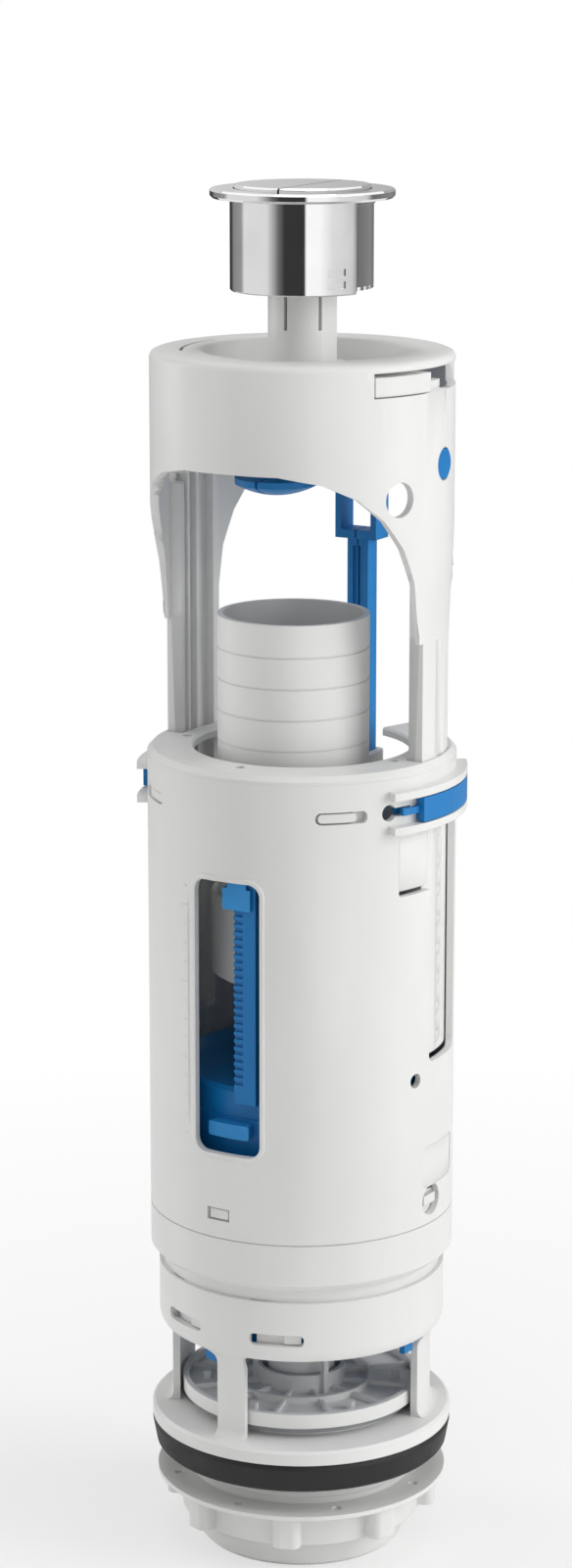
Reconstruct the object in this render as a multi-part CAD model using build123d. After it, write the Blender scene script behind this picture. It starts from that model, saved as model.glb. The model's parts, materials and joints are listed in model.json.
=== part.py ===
from build123d import *
import math
import os

os.makedirs("parts", exist_ok=True)

# Millimetres, +Z up. The origin is the centre of the tail's lower end, on the axis of the valve.
# The front, where the long window is, faces -Y. Angles go round the axis from the front, + towards +X.

# Clearances
slide_gap = 0.3        # between pieces that slide or turn in one another
seat_gap = 0.15        # between pieces that are pushed together for good
pin_gap = 0.08         # running fit of a round pin
stroke_gap = 0.4       # free play before a lever is touched

# Stack of heights, from the tail upwards
tail_free = 8.0        # tail below the back nut
nut_height = 10.8
floor_room = 6.8       # room for the cistern's floor between nut and seal
seal_height = 7.8
flange_thick = 3.7
cage_height = 39.6
neck_height = 3.8
band_height = 12.3
tube_length = 119.6
plate_thick = 2.1
leg_inserted = 75.0    # how deep the legs reach into the outer tube
head_length = 177.6    # leg end to the top of the head
button_rise = 37.6     # head top to the underside of the chrome flange

nut_low = tail_free
nut_top = nut_low + nut_height
seal_low = nut_top + floor_room
flange_low = seal_low + seal_height
flange_top = flange_low + flange_thick
cage_top = flange_top + cage_height
band_low = cage_top + neck_height
seam = band_low + band_height
tube_top = seam + tube_length
plate_top = tube_top + plate_thick
leg_end = tube_top - leg_inserted
head_top = leg_end + head_length
button_face = head_top + button_rise

# Radial steps, inwards from the outer tube
tube_radius = 39.5
tube_wall = 1.8
flange_step = 0.1          # tube to the seat base's flange
shank_step = 9.7           # flange to shank
tail_step = 3.0            # shank to tail
tail_wall = 2.5
shoulder_step = 2.15       # tube to the cage's shoulder
shoulder_wall = 1.95
pillar_step = 3.25         # shoulder to pillars
cage_wall = 1.9
seat_lip_step = 4.7        # inside of the cage to the valve seat
head_step = 1.2            # tube to bridge head
head_wall = 2.2
leg_gap = 0.4              # bore of the tube to the legs
recess_step = 13.0         # head to the edge of its recess
opening_step = 11.7        # tube to the collar's opening
neck_step = 3.3
band_step = 5.1            # tube to the bore of the lower ring
float_step = 7.0
overflow_offset = 4.5      # the overflow tube stands forward of the axis
overflow_room = 4.0        # overflow tube to the collar's opening, at the front

tube_inner = tube_radius - tube_wall
flange_radius = tube_radius - flange_step
shank_radius = flange_radius - shank_step
tail_radius = shank_radius - tail_step
bore_radius = tail_radius - tail_wall
shoulder_radius = tube_radius - shoulder_step
shoulder_inner = shoulder_radius - shoulder_wall
cage_radius = shoulder_radius - pillar_step
cage_inner = cage_radius - cage_wall
seat_lip_radius = cage_inner - seat_lip_step
head_radius = tube_radius - head_step
head_inner = head_radius - head_wall
leg_radius = tube_inner - leg_gap
recess_radius = head_radius - recess_step
opening_radius = tube_radius - opening_step
neck_radius = tube_radius - neck_step
band_inner = tube_radius - band_step
float_radius = tube_radius - float_step
overflow_radius = opening_radius - overflow_offset - overflow_room

# Tail, flange and cage of the seat base
shank_past_nut = 0.6   # the tail thread starts this far above the nut's lower face
shoulder_low = 26.0    # heights above the flange
waist_high = 19.0
window_high = 23.7
foot_flare = 2.2
cage_turn = -3.5       # the cage is turned this far from the front
thin_pillar = 14.0     # widths in degrees
wide_pillar = 34.0
wide_pillar_at = 112.0
bayonet_at = 22.5
bayonet_width = 22.0
bayonet_low = 27.8     # above the flange
bayonet_high = 3.1
seat_lip_wide = 1.6
seat_lip_high = 1.4
guide_high = 10.0
guide_at = 20.0
guide_wall = 1.8

# Cistern seal and back nut
seal_taper = 1.0
nut_flange_radius = shank_radius + 8.4
nut_flange_thick = 1.2
nut_wall = 1.8
lobe_count = 8
lobe_radius = shank_radius + 6.1
lobe_width = 7.4
dimple_radius = 1.2
dimple_circle = shank_radius + 3.9
dimple_depth = 0.5

# Outer tube
main_window_width = 18.7
main_window_low = 22.7     # above the seam
main_window_high = tube_length - 48.4
main_window_corner = 3.2
collar_slot_at = 43.5
collar_slot_width = 19.4
collar_slot_low = tube_length - 10.1
collar_slot_high = 3.1
rail_start = 62.0
rail_end = 125.0
rail_thick = 2.0
rail_depth = 2.8
rail_low = tube_length - 13.8
rail_space = 6.8
keyhole_at = 62.2
keyhole_radius = 2.1
keyhole_neck = 2.2
side_window_start = 84.0
side_window_end = 109.0
side_window_low = 43.5
side_window_top = tube_length - 15.2
recess_start = 66.8
recess_low = tube_length - 30.5
drain_hole_at = 76.0
drain_hole_low = 39.9
drain_hole_radius = 1.9
low_window_start = 80.0
low_window_end = 106.0
low_window_low = 10.2
low_window_high = 11.0
snap_width = 9.6           # degrees
snap_low = 4.8
snap_high = 3.3
round_snap_radius = 4.1
notch_half_angle = 20.0    # rear notch for the pull rods
notch_depth = 16.4

# Lower ring
band_chamfer = 1.6
spigot_high = 8.4
tongue_length = 14.2
tongue_wall = 1.5
tongue_width = 18.0
lug_depth = 1.0
float_ledge = 3.2          # above the seam

# Top collar
collar_skirt = 12.0
collar_skirt_wall = 1.4
plate_round = 1.3
plate_hole_radius = 1.3
plate_hole_circle = opening_radius + 4.0

# Bridge head
head_round = 1.5
head_plate = 2.2
recess_depth = 6.5
recess_wall = 1.5
leg_wall = 4.1
leg_start = 82.5
leg_finish = 110.4
leg_skin = 1.4
leg_rib = 1.1
mark_pitch = 7.67
mark_count = 8
mark_radius = 1.7
mark_depth = 0.35
skirt_depth = 26.5         # head top to the crown of the arch
arch_drop = 44.0
arch_flat = 12.0           # half width of the level part, in degrees
slot_window_start = 56.0
slot_window_end = 125.0
slot_window_low = 8.1      # below the head top
slot_window_high = 6.1
pivot_back = 4.0           # pivot axis of the levers
pivot_drop = 26.5
trunnion_radius = 3.85
second_hole_at = 67.7
second_hole_drop = 33.3
second_hole_radius = 4.35
leg_hole_at = -84.0
leg_hole_drop = 34.0
leg_hole_radius = 1.8

# Lock ring
lock_thick = 2.0
lock_start = -120.0
lock_end = 100.0
block_high = 4.7
block_start = 57.0
block_end = 85.5

# Stem and button unit
stem_radius = 8.6
stem_flat = 7.7
stem_bore = 6.4
stem_below = 5.5           # below the recess floor
stem_in_housing = 17.0
collet_slot = 0.9
collet_low = 12.0          # above the recess floor
foot_radius = 10.2
foot_thick = 1.2
clip_size = 4.4
clip_high = 3.4
clip_at = 138.0
barrel_radius = 18.05
barrel_wall = 0.8
barrel_length = 22.8
chrome_flange_radius = 23.0
chrome_flange_thick = 2.3
housing_floor = 3.2        # above the barrel's end
housing_floor_thick = 1.5
socket_wall = 1.6
button_proud = 1.0
button_plate = 2.0
button_skirt = 5.0
button_wall = 1.2
button_split = 2.5         # the parting line lies this far to the half flush side
button_gap = 0.5
barrel_slot_width = 15.6   # degrees
barrel_slot_high = 1.85
barrel_slot_at = 57.0
barrel_step_start = 76.3
barrel_step_end = 140.0
barrel_step_depth = 0.35
barrel_step_rise = 1.7
spring_at = 13.05
spring_radius = 1.9
spring_wire = 0.6
spring_turns = 5

# Levers and rods
lever_hub_radius = 3.4
axle_radius = 1.5
nose_forward = 10.0
nose_up = 3.5
nose_radius = 4.0
tip_radius = 1.5
tip_length = 3.3
arm_high = 5.0
dish_forward = 17.0
dish_radius = 10.5
dish_sag = 2.8
dish_low = 5.4             # below the pivot, edge of the dish
dish_rim = 1.6
full_stroke = 6.0
rod_width = 2.8
rod_depth = 5.0
rod_back = head_inner - 3.9    # middle of the rods, behind the axis
rod_split = 0.2
rod_head_width = 5.75
rod_head_depth = 7.5
rod_head_high = 29.9
rod_bar = 2.3
rod_below = 59.5           # rods end this far below the top plate's face
lever_arm = rod_back + 0.8 - pivot_back

# Valve
overflow_wall = 1.5
overflow_above = 34.6      # above the top plate
cut_line_pitch = 7.95
cut_line_count = 5
cut_line_first = 8.2
cut_line_depth = 0.25
cut_line_high = 0.45
cup_wall = 1.5
cup_low = 56.4             # below the top plate's face
cup_high = 21.0
cone_high = 10.0
stem_tube_radius = 8.9
stem_tube_wall = 1.5
stem_tube_low = 8.0
disc_radius = cage_inner - 0.9
disc_thick = 1.6
disc_rim = 1.5
disc_rim_high = 3.8
disc_ring_radius = disc_radius - 12.6
disc_hub_radius = 11.6
disc_hub_high = 6.5
disc_rib_count = 12
disc_rib = 0.9
disc_pin_count = 6
disc_pin_radius = 1.1
disc_pin_circle = disc_radius - 6.3
flush_seal_radius = disc_radius - 1.7
flush_seal_thick = 1.7
retainer_thick = 1.6
ring_clip_wall = 1.2
ring_clip_high = 1.6
bracket_wall = 1.7
bracket_high = 7.0
eye_thick = 3.6
eye_width = 11.4
eye_low = 9.4              # below the tube's top

# Float
float_inner = 16.5
float_wall = 1.5
float_low = 30.8           # below the seam
float_top = 38.2           # above the seam
float_flange_thick = 1.6
float_flange_radius = float_radius + 2.9
belt_radius = float_radius + 0.5
belt_low = 11.2
belt_high = 19.4
rack_width = 6.3
rack_front = float_radius + 2.7
rack_back = float_radius - 1.5
rack_high = 57.0
rack_tooth_pitch = 2.0
rack_tooth_depth = 0.6
rack_tooth_width = 2.6
float_foot_drop = 5.8
float_foot_width = 7.0
clip_front = rack_front + 1.0
clip_body_high = 7.8
clip_left = 2.7
clip_right = 5.3
clip_arm = 1.0
stop_high = 3.8
stop_low = 26.0

# Latches
latch_start = 75.0
latch_end = 121.0
latch_depth = 2.5
latch_pin_start = 66.9
latch_pin_high = 1.7
stud_at = 69.6
stud_head = 0.9


def around(shape, angle):
    """Turn a shape about the valve's axis."""
    return Rot(0, 0, angle) * shape


def ring(outer, inner, low, high):
    """Plain ring between two heights."""
    solid = Cylinder(outer, high - low) - Cylinder(inner, high - low)
    return Pos(0, 0, (low + high) / 2) * solid


def disc(radius, low, high):
    return Pos(0, 0, (low + high) / 2) * Cylinder(radius, high - low)


def sector(inner, outer, low, high, start, end):
    """Piece of a ring between two angles."""
    section = Pos((inner + outer) / 2, 0, (low + high) / 2) * Rot(90, 0, 0) * Rectangle(outer - inner, high - low)
    return around(revolve(section, Axis.Z, end - start), start - 90)


def soft_sector(inner, outer, low, high, start, end, corner, top_only=False):
    """Sector whose radial edges are rounded, for windows in a round wall."""
    piece = sector(inner, outer, low, high, start, end)
    flat = [e for e in piece.edges().filter_by(GeomType.LINE) if abs(e.tangent_at(0).Z) < 0.01]
    middle = (low + high) / 2
    chosen = [e for e in flat if e.center().Z > middle or not top_only]
    return fillet(chosen, corner)


def block(x0, x1, y0, y1, z0, z1):
    """Box between two corners."""
    return Pos((x0 + x1) / 2, (y0 + y1) / 2, (z0 + z1) / 2) * Box(abs(x1 - x0), abs(y1 - y0), abs(z1 - z0))


def radial_hole(radius, angle, height, inner, outer):
    """Round cutter that points away from the axis."""
    bar = Pos(0, -(inner + outer) / 2, height) * Rot(90, 0, 0) * Cylinder(radius, outer - inner)
    return around(bar, angle)


def front_window(width, low, high, corner, inner, outer):
    """Rounded window cutter at the front."""
    face = Pos(0, -outer, (low + high) / 2) * Rot(90, 0, 0) * RectangleRounded(width, high - low, corner)
    return extrude(face, outer - inner, dir=(0, 1, 0))


def cross_bar(radius, x0, x1, y, z):
    """Round bar along X."""
    return Pos((x0 + x1) / 2, y, z) * Rot(0, 90, 0) * Cylinder(radius, abs(x1 - x0))


def revolved(points):
    """Solid of revolution of a closed outline of (radius, height) points."""
    outline = make_face(Polyline(*[(r, 0, z) for r, z in points], close=True))
    return revolve(outline, Axis.Z)


def mirror_x(shape):
    return mirror(shape, Plane.YZ)


# Seat base: tail, flange, valve seat and cage in one moulding

shank_low = nut_low + shank_past_nut
lug_radius = shoulder_inner - slide_gap + lug_depth
bayonet_angles = [cage_turn + s * bayonet_at + half for half in (0, 180) for s in (-1, 1)]


def cage_wall_shape():
    base = flange_top
    with BuildPart() as part:
        with BuildSketch(Plane.XZ):
            with BuildLine():
                Polyline(
                    (shoulder_radius, base + shoulder_low),
                    (shoulder_radius, cage_top),
                    (shoulder_inner, cage_top),
                    (shoulder_inner, base + shoulder_low),
                    (cage_inner, base + waist_high),
                    (cage_inner, base),
                    (cage_radius + foot_flare, base),
                )
                TangentArc(
                    (cage_radius + foot_flare, base), (cage_radius, base + foot_flare), tangent=(-1, 0)
                )
                Line((cage_radius, base + foot_flare), (cage_radius, base + waist_high))
                Spline(
                    (cage_radius, base + waist_high),
                    (shoulder_radius, base + shoulder_low),
                    tangents=[(0, 1), (0, 1)],
                )
            make_face()
        revolve(axis=Axis.Z)
    return part.part


def cage_windows():
    """Gaps between two thin and two wide pillars."""
    cuts = []
    for half in (0, 180):
        thin = cage_turn + half
        wide = cage_turn + wide_pillar_at + half
        spans = [
            (thin + thin_pillar / 2, wide - wide_pillar / 2),
            (wide + wide_pillar / 2, thin + 180 - thin_pillar / 2),
        ]
        for start, end in spans:
            cuts.append(
                soft_sector(
                    cage_inner - 4, shoulder_radius + 4, flange_top, flange_top + window_high,
                    start, end, 2.6, top_only=True,
                )
            )
    return cuts


def seat_base():
    body = revolved([
        (bore_radius, 0), (tail_radius - 0.8, 0), (tail_radius, 0.8), (tail_radius, shank_low),
        (shank_radius - 0.6, shank_low), (shank_radius, shank_low + 0.6), (shank_radius, flange_low),
        (flange_radius, flange_low), (flange_radius, flange_top - 0.7), (flange_radius - 0.7, flange_top),
        (seat_lip_radius, flange_top), (seat_lip_radius - 0.3, flange_top + seat_lip_high),
        (seat_lip_radius - seat_lip_wide, flange_top + seat_lip_high),
        (bore_radius, flange_low - 1.0),
    ])
    cage = cage_wall_shape()
    for cut in cage_windows():
        cage -= cut
    for angle in bayonet_angles:
        low = flange_top + bayonet_low
        cage -= soft_sector(
            shoulder_inner - 1, shoulder_radius + 1, low, low + bayonet_high,
            angle - bayonet_width / 2, angle + bayonet_width / 2, bayonet_high * 0.45,
        )
        cage -= sector(
            shoulder_inner - 1, lug_radius + slide_gap, low, cage_top + 1,
            angle - bayonet_width / 2, angle - bayonet_width / 2 + 9,
        )
    guide_inner = stem_tube_radius + slide_gap
    guide_outer = guide_inner + guide_wall
    guide = ring(guide_outer, guide_inner, guide_at, guide_at + guide_high)
    for quarter in range(4):
        guide += around(
            block(-guide_wall / 2, guide_wall / 2, guide_outer - 0.5, bore_radius + 0.4,
                  guide_at, guide_at + guide_high),
            45 + 90 * quarter,
        )
    return body + cage + guide


# Cistern seal and back nut

def cistern_seal():
    inner = shank_radius + seat_gap
    return revolved([
        (inner, seal_low), (flange_radius - seal_taper - 0.9, seal_low),
        (flange_radius - seal_taper, seal_low + 0.9), (flange_radius, flange_low - 1.4),
        (flange_radius - 0.6, flange_low), (inner, flange_low),
    ])


def back_nut():
    bore = shank_radius + pin_gap
    plate_low = nut_top - nut_flange_thick
    nut = ring(nut_flange_radius, bore, plate_low, nut_top)
    nut += ring(bore + nut_wall, bore, nut_low, plate_low)
    for step in range(lobe_count):
        angle = 360 * step / lobe_count
        foot = Pos(0, -(bore + lobe_radius) / 2) * Rectangle(lobe_width, lobe_radius - bore)
        lobe = extrude(fillet(foot.vertices().group_by(Axis.Y)[0], 2.4), plate_low - nut_low - 0.7)
        lobe = Pos(0, 0, nut_low + 0.7) * lobe - disc(bore, nut_low, nut_top)
        nut += around(lobe, angle + 180 / lobe_count)
    for step in range(lobe_count):
        dimple = Pos(0, -dimple_circle, nut_top) * Cylinder(dimple_radius, 2 * dimple_depth)
        nut -= around(dimple, 360 * step / lobe_count)
    return nut


# Outer tube

snap_angles = [cage_turn + 90 * quarter for quarter in range(4)]
notch_low = plate_top - notch_depth - plate_thick
rail_bottom = seam + rail_low
key_height = rail_bottom + rail_thick + rail_space / 2


def side_cuts():
    """Cut-outs of the right side; the left side has the same, mirrored."""
    inside, outside = tube_inner - 2, tube_radius + 2
    cuts = soft_sector(
        inside, outside, seam + side_window_low, seam + side_window_top,
        side_window_start, side_window_end, 2.0,
    )
    cuts += soft_sector(
        inside, outside, seam + recess_low, seam + side_window_top,
        recess_start, side_window_end, 1.0,
    )
    cuts += radial_hole(drain_hole_radius, drain_hole_at, seam + drain_hole_low, inside, outside)
    cuts += soft_sector(
        inside, outside, seam + low_window_low, seam + low_window_low + low_window_high,
        low_window_start, low_window_end, 2.5,
    )
    cuts += soft_sector(
        inside, outside, seam + collar_slot_low, seam + collar_slot_low + collar_slot_high,
        collar_slot_at - collar_slot_width / 2, collar_slot_at + collar_slot_width / 2,
        collar_slot_high * 0.45,
    )
    cuts += radial_hole(keyhole_radius, keyhole_at, key_height, inside, outside)
    cuts += sector(
        inside, outside, key_height - keyhole_neck / 2, key_height + keyhole_neck / 2,
        keyhole_at, stud_at + 2.5,
    )
    return cuts


def side_rails():
    rails = Part()
    for low in (rail_bottom, rail_bottom + rail_thick + rail_space):
        rails += sector(
            tube_radius - tube_wall / 2, tube_radius + rail_depth, low, low + rail_thick,
            rail_start, rail_end,
        )
    return rails


def outer_tube():
    tube = revolved([
        (tube_inner, seam), (tube_radius - 0.4, seam), (tube_radius, seam + 0.4),
        (tube_radius, tube_top), (tube_inner, tube_top),
    ])
    rails = side_rails()
    tube += rails
    tube += mirror_x(rails)
    cuts = side_cuts()
    tube -= cuts
    tube -= mirror_x(cuts)
    window_low = seam + main_window_low
    tube -= front_window(
        main_window_width, window_low, window_low + main_window_high, main_window_corner,
        tube_inner - 4, tube_radius + 2,
    )
    for number, angle in enumerate(snap_angles):
        low = seam + snap_low
        if number % 2:
            tube -= radial_hole(
                round_snap_radius, angle, low + snap_high / 2, tube_inner - 2, tube_radius + 2
            )
        else:
            tube -= sector(
                tube_inner - 2, tube_radius + 2, low, low + snap_high,
                angle - snap_width / 2, angle + snap_width / 2,
            )
    tube -= sector(
        tube_inner - 2, tube_radius + 2, notch_low, tube_top + 1,
        180 - notch_half_angle, 180 + notch_half_angle,
    )
    return tube


# Lower ring: band, neck, bayonet tongues and snap spigot

def lower_ring():
    tongue_outer = shoulder_inner - slide_gap
    tongue_inner = tongue_outer - tongue_wall
    ledge_top = seam + float_ledge
    spigot_outer = tube_inner - seat_gap
    body = revolved([
        (tongue_inner, cage_top), (neck_radius, cage_top), (neck_radius, band_low),
        (tube_radius - band_chamfer, band_low), (tube_radius, band_low + band_chamfer),
        (tube_radius, seam), (spigot_outer, seam), (spigot_outer, seam + spigot_high),
        (spigot_outer - 1.5, seam + spigot_high), (spigot_outer - 1.5, ledge_top),
        (band_inner, ledge_top), (band_inner, band_low), (tongue_inner, band_low - 1),
    ])
    for angle in bayonet_angles:
        body += sector(
            tongue_inner, tongue_outer, cage_top - tongue_length, cage_top + 0.5,
            angle - tongue_width / 2, angle + tongue_width / 2,
        )
        low = flange_top + bayonet_low
        body += sector(
            tongue_outer - 0.5, lug_radius, low + slide_gap, low + bayonet_high - slide_gap,
            angle + bayonet_width / 2 - 8, angle + bayonet_width / 2 - 1,
        )
    for number, angle in enumerate(snap_angles):
        low = seam + snap_low + 0.4
        high = low + snap_high - 0.8
        wide = snap_width / 2 - 0.8
        body += sector(spigot_outer - 0.5, tube_radius - 0.5, low, high, angle - wide, angle + wide)
    return body


# Top collar

def collar_skirt_spans():
    """Stretches of the skirt, clear of the legs, the studs and the rear notch."""
    first = collar_slot_at - collar_slot_width / 2 - 6
    last = collar_slot_at + collar_slot_width / 2 + 3
    return [(first, last), (-last, -first), (128, 150), (-150, -128)]


def top_collar():
    collar = revolved([
        (opening_radius, tube_top), (tube_radius, tube_top),
        (tube_radius, plate_top - plate_round), (tube_radius - plate_round, plate_top),
        (opening_radius + 0.5, plate_top), (opening_radius, plate_top - 0.5),
    ])
    outer = tube_inner - seat_gap
    for start, end in collar_skirt_spans():
        collar += sector(outer - collar_skirt_wall, outer, tube_top - collar_skirt, tube_top + 0.5, start, end)
    low = seam + collar_slot_low + 0.4
    half = collar_slot_width / 2 - 2.5
    for side in (-1, 1):
        middle = side * (collar_slot_at - 1.5)
        collar += soft_sector(
            outer - 0.6, tube_radius - 0.4, low, low + collar_slot_high - 0.8,
            middle - half, middle + half, 1.0,
        )
        start = leg_start - 1.0
        end = leg_finish + 1.0
        slot = sector(leg_radius - leg_wall - 0.5, leg_radius + slide_gap, tube_top - 1, plate_top + 1, start, end)
        collar -= slot if side > 0 else mirror_x(slot)
    collar -= sector(
        opening_radius - 2, tube_radius + 2, tube_top - 1, plate_top + 1,
        180 - notch_half_angle, 180 + notch_half_angle,
    )
    for angle in (0, 77.5, -77.5):
        circle = plate_hole_circle if angle == 0 else plate_hole_circle - 1.2
        collar -= around(Pos(0, -circle, plate_top) * Cylinder(plate_hole_radius, 3 * plate_thick), angle)
    return collar


# Bridge head with its two legs

recess_floor = head_top - recess_depth
recess_under = recess_floor - recess_wall
pivot_height = head_top - pivot_drop
crown = head_top - skirt_depth


def arch_height(angle, edge):
    """Height of the arch's edge: level at the crown, then a quarter oval down to the leg."""
    past = max(0.0, abs(angle) - arch_flat) / (edge - arch_flat)
    return crown - arch_drop * (1 - math.sqrt(max(0.0, 1 - min(past, 1.0) ** 2.3)))


def arch_cutter(edge, middle):
    """Lofted cutter under the arch, from one leg to the other."""
    steps = [0, 0.25, 0.45, 0.62, 0.76, 0.87, 0.95, 1.0]
    angles = [-edge * s for s in reversed(steps)] + [edge * s for s in steps[1:]]
    low = leg_end
    near = head_inner - 6
    far = head_radius + 6
    sections = []
    for angle in angles:
        high = arch_height(angle, edge)
        corners = [(r, 0, z) for r, z in ((near, low), (far, low), (far, high), (near, high))]
        sections.append(around(make_face(Polyline(*corners, close=True)), angle - 90))
    return around(loft(sections, ruled=True), middle)


def leg():
    """Right leg: a channel with a skin outside, side flanges and ribs inside."""
    inner = leg_radius - leg_wall
    high = pivot_height + 8.0
    low_boss = pivot_height - 7.0
    body = sector(inner, leg_radius, leg_end, high, leg_start, leg_finish)
    body += sector(leg_radius - 1, head_radius, crown - 2, high, leg_start, leg_finish)
    flange = 3.4
    pocket = sector(
        inner - 1, leg_radius - leg_skin, leg_end + 2.0, low_boss,
        leg_start + flange, leg_finish - flange,
    )
    middle = (leg_start + leg_finish) / 2
    for shift in (-6.5, 0.5):
        rib = around(block(-leg_rib / 2, leg_rib / 2, -leg_radius, -inner, leg_end, low_boss), middle + shift)
        pocket -= rib
    body -= pocket
    for number in range(mark_count):
        height = leg_end + 3.5 + mark_pitch * number
        mark = radial_hole(mark_radius, middle + 1, height, leg_radius - mark_depth, leg_radius + 1)
        core = radial_hole(mark_radius - 0.5, middle + 1, height, leg_radius - mark_depth - 1, leg_radius + 1)
        body -= mark - core
    return body


def head_shell():
    plate_low = head_top - head_plate
    shell = revolved([
        (recess_radius, head_top), (recess_radius, recess_floor), (0, recess_floor),
        (0, recess_under), (recess_radius + recess_wall, recess_under),
        (recess_radius + recess_wall, plate_low), (head_inner, plate_low),
        (head_inner, crown - arch_drop), (head_radius, crown - arch_drop),
        (head_radius, head_top - head_round), (head_radius - 0.45, head_top - 0.45),
        (head_radius - head_round, head_top),
    ])
    shell -= arch_cutter(leg_start - 2.5, 0)
    shell -= arch_cutter(180 - leg_finish - 2.5, 180)
    return shell


def head_holes():
    """Holes through the skirt: pivots, second pair, and one by the left leg."""
    inside, outside = leg_radius - leg_wall - 2, head_radius + 2
    cuts = cross_bar(trunnion_radius + slide_gap, -outside, outside, pivot_back, pivot_height)
    for side in (-1, 1):
        cuts += radial_hole(
            second_hole_radius, side * second_hole_at, head_top - second_hole_drop, inside, outside
        )
    cuts += radial_hole(leg_hole_radius, leg_hole_at, head_top - leg_hole_drop, inside, outside)
    return cuts


def bridge_head():
    head = head_shell()
    right = leg()
    head += right
    head += mirror_x(right)
    head -= head_holes()
    window_top = head_top - slot_window_low + slot_window_high
    head -= sector(
        head_inner - 1, head_radius + 1, head_top - slot_window_low, window_top,
        slot_window_start, slot_window_end,
    )
    # Ledges that carry the lock ring
    ledge_top = lock_low
    for angle in (-75, 0, 92):
        head += sector(
            head_inner - 1.6, head_inner + 0.5, ledge_top - 1.5, ledge_top, angle - 6, angle + 6
        )
    # Hole for the stem and the slot of the recess
    head -= Pos(0, 0, recess_floor) * Cylinder(stem_radius + seat_gap, 6 * recess_wall)
    head -= sector(recess_radius + 4.5, recess_radius + 5.4, head_top - 5, head_top + 1, -103, -56)
    return head


# Lock ring in the head

lock_low = head_top - slot_window_low + slide_gap


def lock_ring():
    inner = recess_radius + recess_wall + slide_gap
    outer = head_inner - slide_gap
    body = sector(inner, outer, lock_low, lock_low + lock_thick, lock_start, lock_end)
    body += sector(outer - 5.5, head_radius - 0.6, lock_low, lock_low + block_high, block_start, block_end)
    return body


# Stem between the head and the button unit

stem_low = recess_floor - stem_below
barrel_low = button_face - barrel_length
stem_high = barrel_low + stem_in_housing


def stem_guide():
    body = disc(stem_radius, stem_low, stem_high)
    body &= block(-stem_flat, stem_flat, -20, 20, stem_low, stem_high)
    body += disc(foot_radius, recess_floor, recess_floor + foot_thick)
    for side in (-1, 1):
        clip = block(-clip_size / 2, clip_size / 2, -foot_radius - 0.8, -stem_radius + 1.5,
                     recess_floor, recess_floor + clip_high)
        body += around(clip, side * clip_at)
    body -= disc(stem_bore, stem_low - 1, stem_high + 1)
    for step in range(6):
        slot = block(-collet_slot / 2, collet_slot / 2, -stem_radius - 1, -stem_bore + 1,
                     recess_floor + collet_low, stem_high + 1)
        body -= around(slot, 60 * step)
    return body


# Chrome button unit

housing_face = button_face + chrome_flange_thick
button_radius = barrel_radius - barrel_wall - slide_gap
floor_low = barrel_low + housing_floor
floor_top = floor_low + housing_floor_thick
plate_under = housing_face + button_proud - button_plate


def button_housing():
    bore = barrel_radius - barrel_wall
    socket = stem_radius + seat_gap
    body = revolved([
        (bore, barrel_low), (barrel_radius - 0.3, barrel_low), (barrel_radius, barrel_low + 0.3),
        (barrel_radius, button_face), (chrome_flange_radius - 0.6, button_face),
        (chrome_flange_radius, button_face + 0.6), (chrome_flange_radius, housing_face - 0.5),
        (chrome_flange_radius - 0.5, housing_face), (bore, housing_face), (bore, floor_top),
        (socket + socket_wall, floor_top), (socket + socket_wall, stem_high),
        (socket, stem_high), (socket, floor_low), (bore, floor_low),
    ])
    for side in (-1, 1):
        post = disc(spring_radius - spring_wire / 2 - slide_gap, floor_top - 0.5, floor_top + 3.0)
        body += Pos(side * spring_at, 0, 0) * post
    for number in range(2):
        low = barrel_low + 1.7 + number * (barrel_slot_high + 1.2)
        body -= sector(
            barrel_radius - 0.45, barrel_radius + 1, low, low + barrel_slot_high,
            barrel_slot_at - barrel_slot_width / 2, barrel_slot_at + barrel_slot_width / 2,
        )
    body -= sector(
        barrel_radius - barrel_step_depth, barrel_radius + 1, barrel_low - 1, button_face - 1.2,
        barrel_step_start, barrel_step_end,
    )
    body -= sector(
        bore - 1, barrel_radius + 1, barrel_low - 1, barrel_low + barrel_step_rise - 0.9,
        barrel_step_start, barrel_step_end,
    )
    teeth = 7
    for tooth in range(teeth):
        angle = barrel_step_start + (tooth + 0.25) * (barrel_step_end - barrel_step_start) / teeth
        body -= sector(
            bore - 1, barrel_radius + 1, barrel_low - 1, barrel_low + barrel_step_rise, angle, angle + 4.5
        )
    return body


def button(side, edge):
    """One push plate; side is -1 for the large button and +1 for the small one."""
    top = housing_face + button_proud
    shape = disc(button_radius, top - button_skirt, top)
    shape -= disc(button_radius - button_wall, top - button_skirt - 1, plate_under)
    rim = shape.edges().filter_by(GeomType.CIRCLE).group_by(Axis.Z)[-1]
    shape = chamfer(rim, 0.4)
    reach = 2 * button_radius
    keep = block(edge, side * reach, -reach, reach, top - 2 * button_skirt, top + 1)
    return shape & keep


def full_button():
    return button(-1, button_split - button_gap / 2)


def half_button():
    return button(1, button_split + button_gap / 2)


def button_spring(side):
    """Coil spring on its post, squeezed between the housing's floor and the button."""
    low = floor_top + spring_wire / 2
    high = plate_under - spring_wire / 2
    path = Helix(pitch=(high - low) / spring_turns, height=high - low, radius=spring_radius)
    start = Plane(origin=path @ 0, z_dir=path % 0)
    coil = sweep(start * RegularPolygon(spring_wire / 2, 6), path, is_frenet=True)
    return Pos(side * spring_at, 0, low) * coil


# Push rods in the stem

nose_height = pivot_height + nose_up
nose_y = pivot_back - nose_forward
foot_under = nose_height + nose_radius + stroke_gap
foot_high = 2.6


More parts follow.
